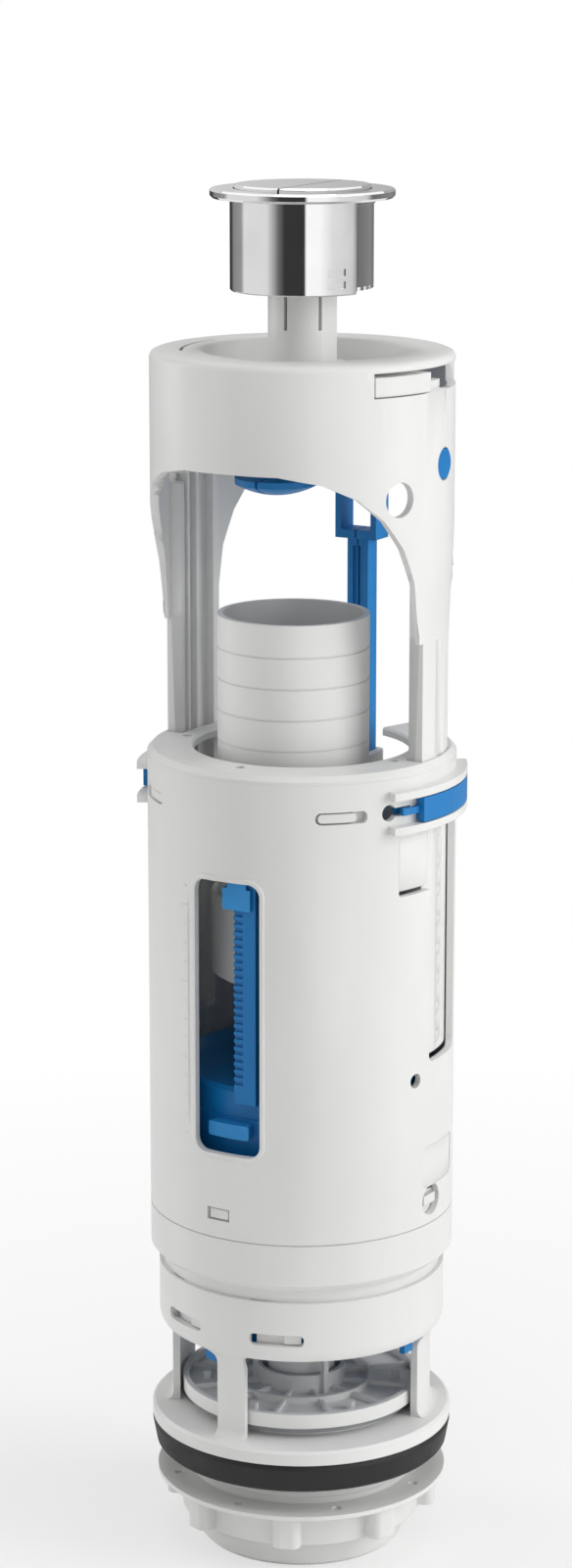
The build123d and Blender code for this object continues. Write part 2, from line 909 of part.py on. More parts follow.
def push_rod(side):
    radius = stem_bore - slide_gap
    split = slide_gap + 0.1
    body = disc(radius, foot_under, plate_under) & block(
        side * split, side * 2 * radius, -radius, radius, foot_under, plate_under
    )
    body &= block(-20, 20, -radius, radius, foot_under, plate_under)
    foot = block(side * split, side * (radius - 0.2), nose_y - 2.6, -1.0, foot_under, foot_under + foot_high)
    lower = block(-20, 20, -1.0, 20, foot_under - 1, foot_under + foot_high)
    body = (body - lower) + foot
    if side > 0:
        # The large plate passes over this corner on its way down
        body -= block(
            0, button_split + button_gap, -20, 20, plate_under - full_stroke - 1.0, plate_under + 1
        )
    return body


# Levers on their axle

def dish_half(side, gap):
    """Half of the shallow round dish at the front of the levers."""
    top = pivot_height - dish_low + dish_rim
    edge = pivot_height - dish_low
    ball = (dish_radius ** 2 + dish_sag ** 2) / (2 * dish_sag)
    centre_y = pivot_back - dish_forward
    dish = Pos(0, centre_y, edge - dish_sag + ball) * Sphere(ball)
    dish &= Pos(0, centre_y, (edge - dish_sag + top) / 2) * Cylinder(dish_radius, top - edge + dish_sag)
    reach = dish_forward + 2 * dish_radius
    keep = block(side * gap, side * reach, -reach, reach, edge - 2 * dish_sag, top + 1)
    return dish & keep


def lever(side):
    gap = slide_gap
    inner_wall = math.sqrt(head_inner ** 2 - pivot_back ** 2) - 0.6
    body = cross_bar(lever_hub_radius, side * gap, side * inner_wall, pivot_back, pivot_height)
    body += cross_bar(trunnion_radius, side * (inner_wall - 1), side * (head_radius - 0.5), pivot_back, pivot_height)
    body += dish_half(side, gap)
    wide = 5.6
    nose = cross_bar(nose_radius, side * gap, side * wide, nose_y, nose_height)
    body += nose
    body += block(side * gap, side * wide, nose_y - 1, pivot_back, pivot_height - 4, nose_height - 1.0)
    body += block(side * gap, side * wide, nose_y - 7, nose_y + 1, pivot_height - dish_low, pivot_height - 1)
    tip_y = pivot_back + lever_arm
    body += block(side * gap, side * (gap + tip_length), pivot_back, tip_y,
                  pivot_height - tip_radius, pivot_height + tip_radius)
    body += block(side * gap, side * (gap + 1.6), pivot_back, tip_y - 6.5,
                  pivot_height - arm_high / 2, pivot_height + arm_high / 2)
    body += cross_bar(tip_radius, side * gap, side * (gap + tip_length), tip_y, pivot_height)
    # A stiffening web from the hub's outer end to the arm
    body += block(side * 5.0, side * 6.6, pivot_back - 8, pivot_back, pivot_height - 3, pivot_height + 2)
    body -= cross_bar(axle_radius + pin_gap, -side, side * (inner_wall - 4), pivot_back, pivot_height)
    return body


def lever_axle():
    inner_wall = math.sqrt(head_inner ** 2 - pivot_back ** 2) - 0.6
    reach = inner_wall - 4.6
    return cross_bar(axle_radius, -reach, reach, pivot_back, pivot_height)


# Pull rods at the back

eye_bottom = tube_top - eye_low
eye_top = eye_bottom + eye_thick
head_bar_low = pivot_height + tip_radius + 0.6
rod_low = plate_top - rod_below


def pull_rod(side):
    top = head_bar_low + rod_bar
    low = top - rod_head_high
    outer = side * (rod_split + rod_head_width)
    inner = side * rod_split
    back0 = rod_back - rod_head_depth / 2
    back1 = rod_back + rod_head_depth / 2 - 0.6
    body = block(inner, outer, back0, back1, head_bar_low, top)
    body += block(inner, outer, back0, back1, low, low + rod_bar)
    body += block(outer - side * 1.6, outer, back0, back1, low, top)
    shank = block(inner, side * (rod_split + rod_width), rod_back - rod_depth / 2, rod_back + rod_depth / 2,
                  rod_low, low + 0.5)
    shank -= block(inner, side * (rod_split + 1.2), rod_back - rod_depth / 2 - 1, rod_back - rod_depth / 2 + 0.8,
                   rod_low + 3, low - 2)
    return body + shank


# Overflow tube, its bracket and the stem that carries the valve

overflow_top = plate_top + overflow_above
cup_bottom = plate_top - cup_low - 2.0
cup_rim = cup_bottom + cup_high
cone_low = cup_bottom - cone_high
valve_face = flange_top + seat_lip_high
disc_low = valve_face + flush_seal_thick


def overflow_tube():
    tube = ring(overflow_radius, overflow_radius - overflow_wall, cup_bottom + 1.2, overflow_top)
    for number in range(cut_line_count):
        height = overflow_top - cut_line_first - number * cut_line_pitch
        tube -= ring(
            overflow_radius + 1, overflow_radius - cut_line_depth,
            height - cut_line_high / 2, height + cut_line_high / 2,
        )
    return Pos(0, -overflow_offset, 0) * tube


def lift_bracket():
    inner = overflow_radius + seat_gap
    clamp = Pos(0, -overflow_offset, 0) * ring(
        inner + bracket_wall, inner, eye_top - bracket_high, eye_top
    )
    back_end = rod_back + rod_depth / 2 + 1.6
    front = inner - overflow_offset + 0.4
    arm = Pos(0, (front + back_end) / 2) * Rectangle(eye_width, back_end - front)
    arm = extrude(fillet(arm.vertices().group_by(Axis.Y)[-1], 3.4), eye_thick)
    arm = Pos(0, 0, eye_bottom) * arm
    slot_half = rod_split + rod_width + slide_gap
    arm -= block(
        -slot_half, slot_half, rod_back - rod_depth / 2 - slide_gap, rod_back + rod_depth / 2 + slide_gap,
        eye_bottom - 1, eye_top + 1,
    )
    web = block(-0.8, 0.8, front, rod_back - rod_depth / 2 - 1.5, eye_top - bracket_high, eye_bottom + 1)
    return clamp + arm + web


def valve_stem():
    cup_outer = overflow_radius + seat_gap + cup_wall
    cup_inner = overflow_radius + seat_gap
    stem_inner = stem_tube_radius - stem_tube_wall

    def funnel(small, large, low, high):
        bottom = Pos(0, 0, low) * Circle(small)
        top = Pos(0, -overflow_offset, high) * Circle(large)
        return loft([bottom, top])

    body = disc(stem_tube_radius, stem_tube_low, cone_low)
    body += funnel(stem_tube_radius, cup_outer, cone_low, cup_bottom)
    body += Pos(0, -overflow_offset, 0) * disc(cup_outer, cup_bottom, cup_rim)
    body -= disc(stem_inner, stem_tube_low - 1, cone_low)
    body -= funnel(stem_inner, cup_inner - cup_wall, cone_low, cup_bottom)
    body -= Pos(0, -overflow_offset, 0) * disc(cup_inner - cup_wall, cup_bottom, cup_bottom + 1.2)
    body -= Pos(0, -overflow_offset, 0) * disc(cup_inner, cup_bottom + 1.2, cup_rim + 1)
    return body


def valve_disc():
    top = disc_low + disc_thick
    hub_inner = stem_tube_radius + seat_gap
    body = ring(disc_radius, hub_inner, disc_low, top)
    body += ring(disc_radius, disc_radius - disc_rim, disc_low, disc_low + disc_rim_high)
    body += ring(disc_ring_radius, disc_ring_radius - 1.0, disc_low, disc_low + disc_rim_high - 0.4)
    body += ring(disc_hub_radius, disc_hub_radius - 1.1, disc_low, disc_low + disc_hub_high)
    for step in range(disc_rib_count):
        rib = block(-disc_rib / 2, disc_rib / 2, -disc_radius + 1, -disc_hub_radius + 0.3,
                    top - 0.3, disc_low + disc_rim_high - 0.9)
        body += around(rib, 360 * (step + 0.5) / disc_rib_count)
    for step in range(disc_pin_count):
        pin = Pos(0, -disc_pin_circle, 0) * disc(disc_pin_radius, top - 0.3, disc_low + disc_rim_high)
        body += around(pin, 360 * step / disc_pin_count)
    for angle in (60, 180, 300):
        fin = block(-0.7, 0.7, -disc_hub_radius - 1.2, -disc_hub_radius + 0.6, top - 0.3, disc_low + 15)
        body += around(fin, angle)
    return body


def ring_clip():
    """Split ring that holds the disc on the stem."""
    inner = stem_tube_radius + pin_gap
    low = disc_low + disc_thick
    body = ring(inner + ring_clip_wall, inner, low, low + ring_clip_high)
    return body - sector(inner - 1, inner + 3, low - 1, low + ring_clip_high + 1, 172, 188)


def flush_seal():
    return ring(flush_seal_radius, stem_tube_radius + seat_gap, valve_face, disc_low)


def seal_retainer():
    outer = seat_lip_radius - seat_lip_wide - 2.0
    return ring(outer, stem_tube_radius + seat_gap, valve_face - retainer_thick, valve_face)


# Float with its rack, and the two clips

def float_carriage():
    low, top = seam - float_low, seam + float_top
    rest = seam + float_ledge
    body = revolved([
        (float_inner, low), (float_inner + float_wall, low), (float_inner + float_wall, top - float_wall),
        (float_radius - float_wall, top - float_wall), (float_radius - float_wall, low),
        (float_radius, low), (float_radius, rest), (float_flange_radius, rest),
        (float_flange_radius, rest + float_flange_thick), (float_radius, rest + float_flange_thick),
        (float_radius, seam + belt_low), (belt_radius, seam + belt_low + 1),
        (belt_radius, seam + belt_low + belt_high), (float_radius, seam + belt_low + belt_high),
        (float_radius, top - 1), (float_radius - 1, top), (float_inner, top),
    ])
    rack = block(0, rack_width, -rack_front, -rack_back, top - 3, top + rack_high)
    count = int((rack_high - 3) / rack_tooth_pitch)
    for number in range(count):
        height = top + 2 + number * rack_tooth_pitch
        rack -= block(
            -1, rack_tooth_width, -rack_front - 1, -rack_front + rack_tooth_depth,
            height, height + rack_tooth_pitch / 2,
        )
    body += rack
    for angle in (86, -15.5, 266, 164.5):
        body += sector(
            float_radius - 0.8, float_radius + 0.8, low - float_foot_drop, low + 2,
            angle - float_foot_width / 2, angle + float_foot_width / 2,
        )
    return body


def volume_clip():
    top = seam + float_top + rack_high - 1.4
    low = top - clip_body_high
    gap = slide_gap
    body = block(-clip_left, clip_right, -clip_front, -rack_front - gap, low, top - 2.2)
    body += block(-clip_left + 1.4, clip_right - 1.2, -clip_front, -rack_front - gap, low, top)
    body += block(-clip_left, -gap, -clip_front, -rack_back + gap + clip_arm, low, top - 2.2)
    body += block(-clip_left, 2.2, -rack_back + gap, -rack_back + gap + clip_arm, low, top - 2.2)
    return body


def stop_clip():
    low = seam + stop_low
    return soft_sector(belt_radius, clip_front, low, low + stop_high, -11.7, 7.3, 0.6)


# Latches between the rails

def latch():
    inner = tube_radius + slide_gap
    outer = tube_radius + latch_depth + slide_gap
    low = rail_bottom + rail_thick + slide_gap
    high = low + rail_space - 2 * slide_gap
    body = sector(inner, outer, low, high, latch_start, latch_end)
    pin_low = key_height - latch_pin_high / 2
    body += sector(inner, inner + 1.2, pin_low, pin_low + latch_pin_high, latch_pin_start, latch_start + 1)
    body += radial_hole(latch_pin_high / 2, stud_at, key_height, tube_inner - 0.9, inner + 0.5)
    body += radial_hole(
        keyhole_radius - slide_gap, stud_at, key_height, tube_inner - 0.3 - stud_head, tube_inner - 0.3
    )
    return body


pieces = {
    "seat_base": seat_base,
    "cistern_seal": cistern_seal,
    "back_nut": back_nut,
    "lower_ring": lower_ring,
    "outer_tube": outer_tube,
    "top_collar": top_collar,
    "latch_right": latch,
    "latch_left": lambda: mirror_x(latch()),
    "bridge_head": bridge_head,
    "lock_ring": lock_ring,
    "stem_guide": stem_guide,
    "button_housing": button_housing,
    "full_button": full_button,
    "half_button": half_button,
    "full_spring": lambda: button_spring(-1),
    "half_spring": lambda: button_spring(1),
    "full_push_rod": lambda: push_rod(-1),
    "half_push_rod": lambda: push_rod(1),
    "full_lever": lambda: lever(-1),
    "half_lever": lambda: lever(1),
    "lever_axle": lever_axle,
    "full_pull_rod": lambda: pull_rod(-1),
    "half_pull_rod": lambda: pull_rod(1),
    "lift_bracket": lift_bracket,
    "overflow_tube": overflow_tube,
    "valve_stem": valve_stem,
    "valve_disc": valve_disc,
    "ring_clip": ring_clip,
    "flush_seal": flush_seal,
    "seal_retainer": seal_retainer,
    "float_carriage": float_carriage,
    "volume_clip": volume_clip,
    "stop_clip": stop_clip,
}

for name, make in pieces.items():
    export_step(make(), "parts/" + name + ".step")
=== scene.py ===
import json
import math

import bmesh
import bpy
import numpy as np
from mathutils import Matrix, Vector


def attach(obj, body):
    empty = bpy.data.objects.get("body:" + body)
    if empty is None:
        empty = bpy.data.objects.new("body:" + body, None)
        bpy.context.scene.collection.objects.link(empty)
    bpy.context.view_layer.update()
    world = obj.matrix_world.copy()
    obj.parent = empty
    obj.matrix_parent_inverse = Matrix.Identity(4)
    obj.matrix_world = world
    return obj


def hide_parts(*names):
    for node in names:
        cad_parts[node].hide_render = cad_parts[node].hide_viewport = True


mm = 0.001
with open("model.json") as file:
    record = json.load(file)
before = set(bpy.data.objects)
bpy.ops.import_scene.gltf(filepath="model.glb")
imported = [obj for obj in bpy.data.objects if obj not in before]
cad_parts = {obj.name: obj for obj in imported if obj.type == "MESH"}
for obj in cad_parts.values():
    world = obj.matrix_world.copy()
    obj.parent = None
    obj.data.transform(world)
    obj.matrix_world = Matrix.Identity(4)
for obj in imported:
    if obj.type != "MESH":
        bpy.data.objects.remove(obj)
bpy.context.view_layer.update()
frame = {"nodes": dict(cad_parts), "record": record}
print("frame loaded:", len(frame["nodes"]), "nodes")


def linear(hexText):
    # sRGB hex to linear light, the same curve for each channel
    values = [int(hexText[i:i + 2], 16) / 255 for i in (0, 2, 4)]
    return [v / 12.92 if v <= 0.04045 else ((v + 0.055) / 1.055) ** 2.4 for v in values] + [1.0]


def addNode(tree, kind, values=None, links=None, **settings):
    # adds a node, sets its attributes, its socket values and its incoming links
    node = tree.nodes.new(kind)
    for name, value in settings.items():
        setattr(node, name, value)
    for socket, value in (values or {}).items():
        node.inputs[socket].default_value = value
    for socket, source in (links or {}).items():
        tree.links.new(source, node.inputs[socket])
    return node


def startMaterial(name):
    # empty material with its output and Object coordinates in metres
    material = bpy.data.materials.new(name)
    material.use_nodes = True
    tree = material.node_tree
    tree.nodes.clear()
    output = addNode(tree, "ShaderNodeOutputMaterial")
    place = addNode(tree, "ShaderNodeTexCoord").outputs["Object"]
    return material, tree, output, place


def perMetre(sizeMm):
    # noise scale whose features have that size
    return 1 / (sizeMm * mm)


def noiseField(tree, place, sizeMm, detail, stretch=(1, 1, 1)):
    # noise with features of that size, drawn out along an axis whose stretch is below one
    mapped = addNode(tree, "ShaderNodeMapping", {"Scale": stretch}, {"Vector": place})
    return addNode(tree, "ShaderNodeTexNoise", {"Scale": perMetre(sizeMm), "Detail": detail},
                   {"Vector": mapped.outputs["Vector"]}).outputs["Fac"]


# share of the noise's range that the tones and the gloss use
toneLimits = (0.32, 0.68)
noiseLimits = (0.3, 0.7)


def twoTone(tree, field, dark, light):
    # colour between two close tones
    ramp = addNode(tree, "ShaderNodeValToRGB", links={"Fac": field})
    for stop, position, colour in zip(ramp.color_ramp.elements, toneLimits, (dark, light)):
        stop.position = position
        stop.color = linear(colour)
    return ramp.outputs["Color"]


def spread(tree, field, low, high):
    # field between its usual limits, moved to low and high
    return addNode(tree, "ShaderNodeMapRange",
                   {"From Min": noiseLimits[0], "From Max": noiseLimits[1],
                    "To Min": low, "To Max": high},
                   {"Value": field}).outputs["Result"]


def roundedEdges(tree, edgeMm):
    # normal that turns softly over each edge
    return addNode(tree, "ShaderNodeBevel", {"Radius": edgeMm * mm}, samples=4).outputs["Normal"]


def raised(tree, height, depthMm, **below):
    # normal of a relief of that depth, over the normal of what lies below it
    return addNode(tree, "ShaderNodeBump", {"Strength": 1.0, "Distance": depthMm * mm},
                   {"Height": height, **below}).outputs["Normal"]


def mouldedPlastic(name, look):
    # injection moulding: soft gloss over the fine grain of the mould's steel, broad flow marks
    # in tone and gloss, faint sink in thick places, and edges rounded as the mould leaves them
    material, tree, output, place = startMaterial(name)
    flow = noiseField(tree, place, look["flowMm"], 2.0, look["flowStretch"])
    grain = noiseField(tree, place, look["grainMm"], 3.0)
    sink = noiseField(tree, place, look["sinkMm"], 1.0)
    edge = roundedEdges(tree, look["edgeMm"])
    waves = raised(tree, sink, look["sinkDepthMm"], Normal=edge)
    relief = raised(tree, grain, look["grainDepthMm"], Normal=waves)
    shader = addNode(tree, "ShaderNodeBsdfPrincipled",
                     {"IOR": look["ior"], "Subsurface Weight": look["glow"],
                      "Subsurface Radius": (1.0, 1.0, 1.0),
                      "Subsurface Scale": look["glowMm"] * mm},
                     {"Base Color": twoTone(tree, flow, look["dark"], look["light"]),
                      "Roughness": spread(tree, flow, look["smooth"], look["rough"]),
                      "Normal": relief})
    tree.links.new(shader.outputs["BSDF"], output.inputs["Surface"])
    return material


whitePolypropyleneLook = {
    "dark": "DEDEDC", "light": "E6E6E5", "smooth": 0.34, "rough": 0.44, "ior": 1.49,
    "flowMm": 26, "flowStretch": (1, 1, 0.35), "grainMm": 0.35, "grainDepthMm": 0.006,
    "sinkMm": 14, "sinkDepthMm": 0.05,
    "edgeMm": 0.2, "glow": 0.08, "glowMm": 0.8,
}
blueAcetalLook = {
    "dark": "0470B2", "light": "0C7CC2", "smooth": 0.36, "rough": 0.46, "ior": 1.42,
    "flowMm": 18, "flowStretch": (1, 1, 0.35), "grainMm": 0.3, "grainDepthMm": 0.006,
    "sinkMm": 10, "sinkDepthMm": 0.04,
    "edgeMm": 0.25, "glow": 0.05, "glowMm": 0.6,
}
lightBlueAcetalLook = dict(blueAcetalLook, dark="2288CC", light="3498DA")


def mouldedRubber(name, look):
    # compression moulded rubber: matte, a trace of bloom, and the fine pits of the mould
    material, tree, output, place = startMaterial(name)
    bloom = noiseField(tree, place, look["bloomMm"], 4.0)
    pits = noiseField(tree, place, look["pitMm"], 2.0)
    relief = raised(tree, pits, look["pitDepthMm"], Normal=roundedEdges(tree, look["edgeMm"]))
    shader = addNode(tree, "ShaderNodeBsdfPrincipled", {"IOR": look["ior"]},
                     {"Base Color": twoTone(tree, bloom, look["dark"], look["light"]),
                      "Roughness": spread(tree, bloom, look["smooth"], look["rough"]),
                      "Normal": relief})
    tree.links.new(shader.outputs["BSDF"], output.inputs["Surface"])
    return material


blackRubberLook = {
    "dark": "0E0E0F", "light": "171718", "smooth": 0.5, "rough": 0.66, "ior": 1.52,
    "bloomMm": 7, "pitMm": 0.4, "pitDepthMm": 0.012, "edgeMm": 0.5,
}
greySiliconeLook = dict(blackRubberLook, dark="85888A", light="94979A", smooth=0.4, rough=0.5)


def chromePlate(name, look):
    # chromium over polished plastic: a mirror with a breath of orange peel and wiped-on haze
    material, tree, output, place = startMaterial(name)
    haze = noiseField(tree, place, look["hazeMm"], 5.0)
    peel = noiseField(tree, place, look["peelMm"], 1.0)
    relief = raised(tree, peel, look["peelDepthMm"], Normal=roundedEdges(tree, look["edgeMm"]))
    shader = addNode(tree, "ShaderNodeBsdfPrincipled", {"Metallic": 1.0},
                     {"Base Color": twoTone(tree, haze, look["dark"], look["light"]),
                      "Roughness": spread(tree, haze, look["smooth"], look["rough"]),
                      "Normal": relief})
    tree.links.new(shader.outputs["BSDF"], output.inputs["Surface"])
    return material


chromeLook = {
    "dark": "F7F7F8", "light": "FDFDFD", "smooth": 0.03, "rough": 0.06,
    "hazeMm": 9, "peelMm": 2.5, "peelDepthMm": 0.0015, "edgeMm": 0.07,
}


def drawnSteel(name, look):
    # drawn stainless steel: grey metal with fine lines left by the die
    material, tree, output, place = startMaterial(name)
    lines = noiseField(tree, place, look["lineMm"], 3.0, look["lineStretch"])
    shader = addNode(tree, "ShaderNodeBsdfPrincipled", {"Metallic": 1.0},
                     {"Base Color": twoTone(tree, lines, look["dark"], look["light"]),
                      "Roughness": spread(tree, lines, look["smooth"], look["rough"]),
                      "Normal": raised(tree, lines, look["lineDepthMm"])})
    tree.links.new(shader.outputs["BSDF"], output.inputs["Surface"])
    return material


steelLook = {
    "dark": "A3A5A8", "light": "C2C4C7", "smooth": 0.2, "rough": 0.34,
    "lineMm": 0.3, "lineStretch": (1, 1, 0.2), "lineDepthMm": 0.004,
}

finishes = {
    "white_plastic": mouldedPlastic("whitePolypropylene", whitePolypropyleneLook),
    "blue_plastic": mouldedPlastic("blueAcetal", blueAcetalLook),
    "light_blue_plastic": mouldedPlastic("lightBlueAcetal", lightBlueAcetalLook),
    "black_rubber": mouldedRubber("blackRubber", blackRubberLook),
    "grey_rubber": mouldedRubber("greySilicone", greySiliconeLook),
    "chrome_plating": chromePlate("chromePlate", chromeLook),
    "spring_steel": drawnSteel("drawnSteel", steelLook),
}

for part in frame["record"]["subparts"]:
    node = frame["nodes"][part["node"]]
    node.data.materials.clear()
    node.data.materials.append(finishes[part["material_slot"]])
print("finishes on the frame:", len(finishes))


def ringQuads(rows, columns, closeRows, closeColumns):
    # quads of a grid whose rows or columns may close on themselves
    rowStarts = np.arange(rows if closeRows else rows - 1)
    columnStarts = np.arange(columns if closeColumns else columns - 1)
    i, j = np.meshgrid(rowStarts, columnStarts, indexing="ij")
    nextI, nextJ = (i + 1) % rows, (j + 1) % columns
    corners = [i * columns + j, nextI * columns + j, nextI * columns + nextJ, i * columns + nextJ]
    return np.stack(corners, axis=-1).reshape(-1, 4)


def endCaps(rows, columns):
    # first and last row of a grid as polygons that face away from each other
    return [list(range(columns)), list(range((rows - 1) * columns, rows * columns))[::-1]]


def addObject(name, data):
    # object in the scene
    item = bpy.data.objects.new(name, data)
    bpy.context.scene.collection.objects.link(item)
    return item


def buildPiece(name, points, faces, slotName, body):
    # mesh from an array of points in millimetres, smooth, with the slot's finish
    mesh = bpy.data.meshes.new(name)
    mesh.from_pydata((points * mm).tolist(), [], [list(face) for face in faces])
    mesh.validate()
    mesh.shade_smooth()
    mesh.materials.append(finishes[slotName])
    piece = addObject(name, mesh)
    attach(piece, body)


def onTube(radius, angle, height):
    # point at that radius and angle from the front, + towards the right
    return np.stack([radius * np.sin(angle), -radius * np.cos(angle), height + 0 * angle], axis=-1)


tube = {"radius": 39.5}

windowRim = {
    "low": 115.5, "high": 186.7, "width": 18.7, "corner": 3.2,
    "lip": 1.3, "proud": 0.35, "sunk": 0.12, "cornerSteps": 10, "sideSteps": 24,
    "across": (-0.5, -0.5, -0.38, -0.2, 0.2, 0.38, 0.5, 0.5),
    "lift": (0.45, 0.85, 1.0, 1.0, 0.85, 0.45),
}


def makeWindowRim(rim):
    # a rounded rectangle, unrolled on the tube, carries a low flat-topped profile round itself:
    # point = path + offset * path normal, lifted by the profile's height above the tube
    half = np.array([rim["width"] / 2 + rim["lip"] / 2,
                     (rim["high"] - rim["low"]) / 2 + rim["lip"] / 2])
    corner = rim["corner"] + rim["lip"] / 2
    turns = np.linspace(0, math.pi / 2, rim["cornerSteps"])
    signs = [(1, 1), (-1, 1), (-1, -1), (1, -1)]
    path, normals = [], []
    for k, sign in enumerate(signs):
        angle = turns + k * math.pi / 2
        outward = np.stack([np.cos(angle), np.sin(angle)], axis=-1)
        path.append(np.array(sign) * (half - corner) + corner * outward)
        normals.append(outward)
        nextStart = np.array(signs[(k + 1) % 4]) * (half - corner) + corner * outward[-1]
        share = np.linspace(0, 1, rim["sideSteps"])[1:-1, None]
        path.append(path[-1][-1] * (1 - share) + nextStart * share)
        normals.append(np.repeat(outward[-1:], len(share), axis=0))
    path, normals = np.concatenate(path), np.concatenate(normals)
    across = np.array(rim["across"]) * rim["lip"]
    lift = np.array([-rim["sunk"], *(np.array(rim["lift"]) * rim["proud"]), -rim["sunk"]])
    flat = path[:, None, :] + across[None, :, None] * normals[:, None, :]
    radius = tube["radius"] + lift[None, :] + 0 * flat[..., 0]
    middle = (rim["low"] + rim["high"]) / 2
    points = onTube(radius, flat[..., 0] / tube["radius"], middle + flat[..., 1])
    # no point lies further forward than the tube does
    points[..., 1] = np.maximum(points[..., 1], -tube["radius"])
    faces = ringQuads(len(path), len(across), True, True)[:, ::-1]
    buildPiece("window_rim", points.reshape(-1, 3), faces, "white_plastic", "column")


makeWindowRim(windowRim)

scaleRule = {
    "angle": -17.4, "low": 119.0, "high": 184.0, "count": 14, "longEvery": 4,
    "lineWidth": 0.45, "tickWidth": 0.5, "shortTick": 1.6, "longTick": 2.8,
    "proud": 0.22, "sunk": 0.1, "belly": 0.02, "barSteps": 9, "squareness": 8,
}


def raisedBars(centres, sizes, rule):
    # each bar is two pillow surfaces that meet at the rim of a square, with n the squareness:
    # height = sqrt((1 - u^n)(1 - v^n))
    steps = np.linspace(-1, 1, rule["barSteps"])
    u, v = np.meshgrid(steps, steps, indexing="ij")
    dome = ((1 - u ** rule["squareness"]) * (1 - v ** rule["squareness"])) ** 0.5
    base = tube["radius"] - rule["sunk"]
    allPoints, allFaces = [], []
    top = ringQuads(len(steps), len(steps), False, False)
    for centre, size in zip(centres, sizes):
        angle = (centre[0] + u * size[0] / 2) / tube["radius"]
        height = centre[1] + v * size[1] / 2
        upper = onTube(base + dome * (rule["proud"] + rule["sunk"]), angle, height)
        lower = onTube(base - rule["belly"] * dome, angle, height)
        start = sum(len(p) for p in allPoints)
        allPoints += [upper.reshape(-1, 3), lower.reshape(-1, 3)]
        allFaces += [top + start, top[:, ::-1] + start + u.size]
    return np.concatenate(allPoints), np.concatenate(allFaces)


def makeScaleRule(rule):
    # one long line beside the window with ticks at even steps, some of them longer
    lineAt = math.radians(rule["angle"]) * tube["radius"]
    heights = np.linspace(rule["low"], rule["high"], rule["count"])
    isLong = np.arange(rule["count"]) % rule["longEvery"] == 0
    lengths = np.where(isLong, rule["longTick"], rule["shortTick"])
    centres = [(lineAt, (rule["low"] + rule["high"]) / 2)]
    sizes = [(rule["lineWidth"], rule["high"] - rule["low"])]
    for length, height in zip(lengths, heights):
        centres.append((lineAt - length / 2 - rule["lineWidth"] / 2, height))
        sizes.append((length, rule["tickWidth"]))
    points, faces = raisedBars(centres, sizes, rule)
    buildPiece("scale_rule", points, faces, "white_plastic", "column")


makeScaleRule(scaleRule)

shankThread = {
    "root": 29.62, "crest": 30.05, "low": 19.3, "high": 25.2, "pitch": 2.31,
    "stepsPerTurn": 72, "taper": 0.12, "thinnest": 0.02,
    "across": (-0.48, -0.3, -0.12, 0.12, 0.3, 0.48, 0.2, -0.2),
    "ridge": (0.0, 0.55, 1.0, 1.0, 0.55, 0.0, -0.4, -0.4),
}


def makeShankThread(thread):
    # helix that carries a rounded 55 degree ridge: radius = root + ridge height * fade at both ends
    turns = (thread["high"] - thread["low"]) / thread["pitch"]
    t = np.linspace(0, 1, int(turns * thread["stepsPerTurn"]))
    angle = 2 * math.pi * turns * t
    fade = np.clip(np.minimum(t, 1 - t) / thread["taper"], thread["thinnest"], 1)
    across = np.array(thread["across"]) * thread["pitch"]
    ridge = np.array(thread["ridge"]) * (thread["crest"] - thread["root"])
    radius = thread["root"] + ridge[None, :] * fade[:, None]
    height = thread["low"] + turns * thread["pitch"] * t[:, None] + across[None, :] * fade[:, None]
    points = onTube(radius, -angle[:, None] + 0 * radius, height)
    faces = ringQuads(len(t), len(across), False, True).tolist()
    faces += [cap[::-1] for cap in endCaps(len(t), len(across))]
    buildPiece("shank_thread", points.reshape(-1, 3), faces, "white_plastic", "base")


makeShankThread(shankThread)

wallWebs = {
    "inner": 37.75, "soft": 0.18, "steps": 24,
    "panels": {
        "recess_web": {"angles": (68.0, 84.5), "heights": (183.0, 197.5), "outer": 38.4},
        "lower_web": {"angles": (79.5, 106.5), "heights": (102.7, 114.3), "outer": 39.25},
    },
}


def makeWallWeb(name, panel, webs):
    # thin skin left in the tube's wall: a soft rectangle of radius and height, swept round the axis
    low, high = panel["heights"]
    inner, outer, soft = webs["inner"], panel["outer"], webs["soft"]
    radius = np.array([outer - soft, outer, outer, outer - soft,
                       inner + soft, inner, inner, inner + soft])
    height = np.array([low, low + soft, high - soft, high, high, high - soft, low + soft, low])
    angle = np.radians(np.linspace(*panel["angles"], webs["steps"]))[:, None]
    points = onTube(radius[None, :] + 0 * angle, angle + 0 * radius[None, :], height[None, :])
    faces = ringQuads(webs["steps"], len(radius), False, True).tolist()
    faces += endCaps(webs["steps"], len(radius))
    buildPiece(name, points.reshape(-1, 3), faces, "white_plastic", "column")


for name, panel in wallWebs["panels"].items():
    makeWallWeb(name, panel, wallWebs)

headTaper = {
    "low": 244.5, "high": 274.5, "rings": 12, "ringShift": 0.01, "inner": 37.3, "outer": 38.3,
    "near": 0.03, "belowFoot": 0.01, "crease": 32,
    "weldBefore": 0.001, "weldAfter": 0.003, "smallest": 0.002, "onPlaneMetres": 1e-7,
}


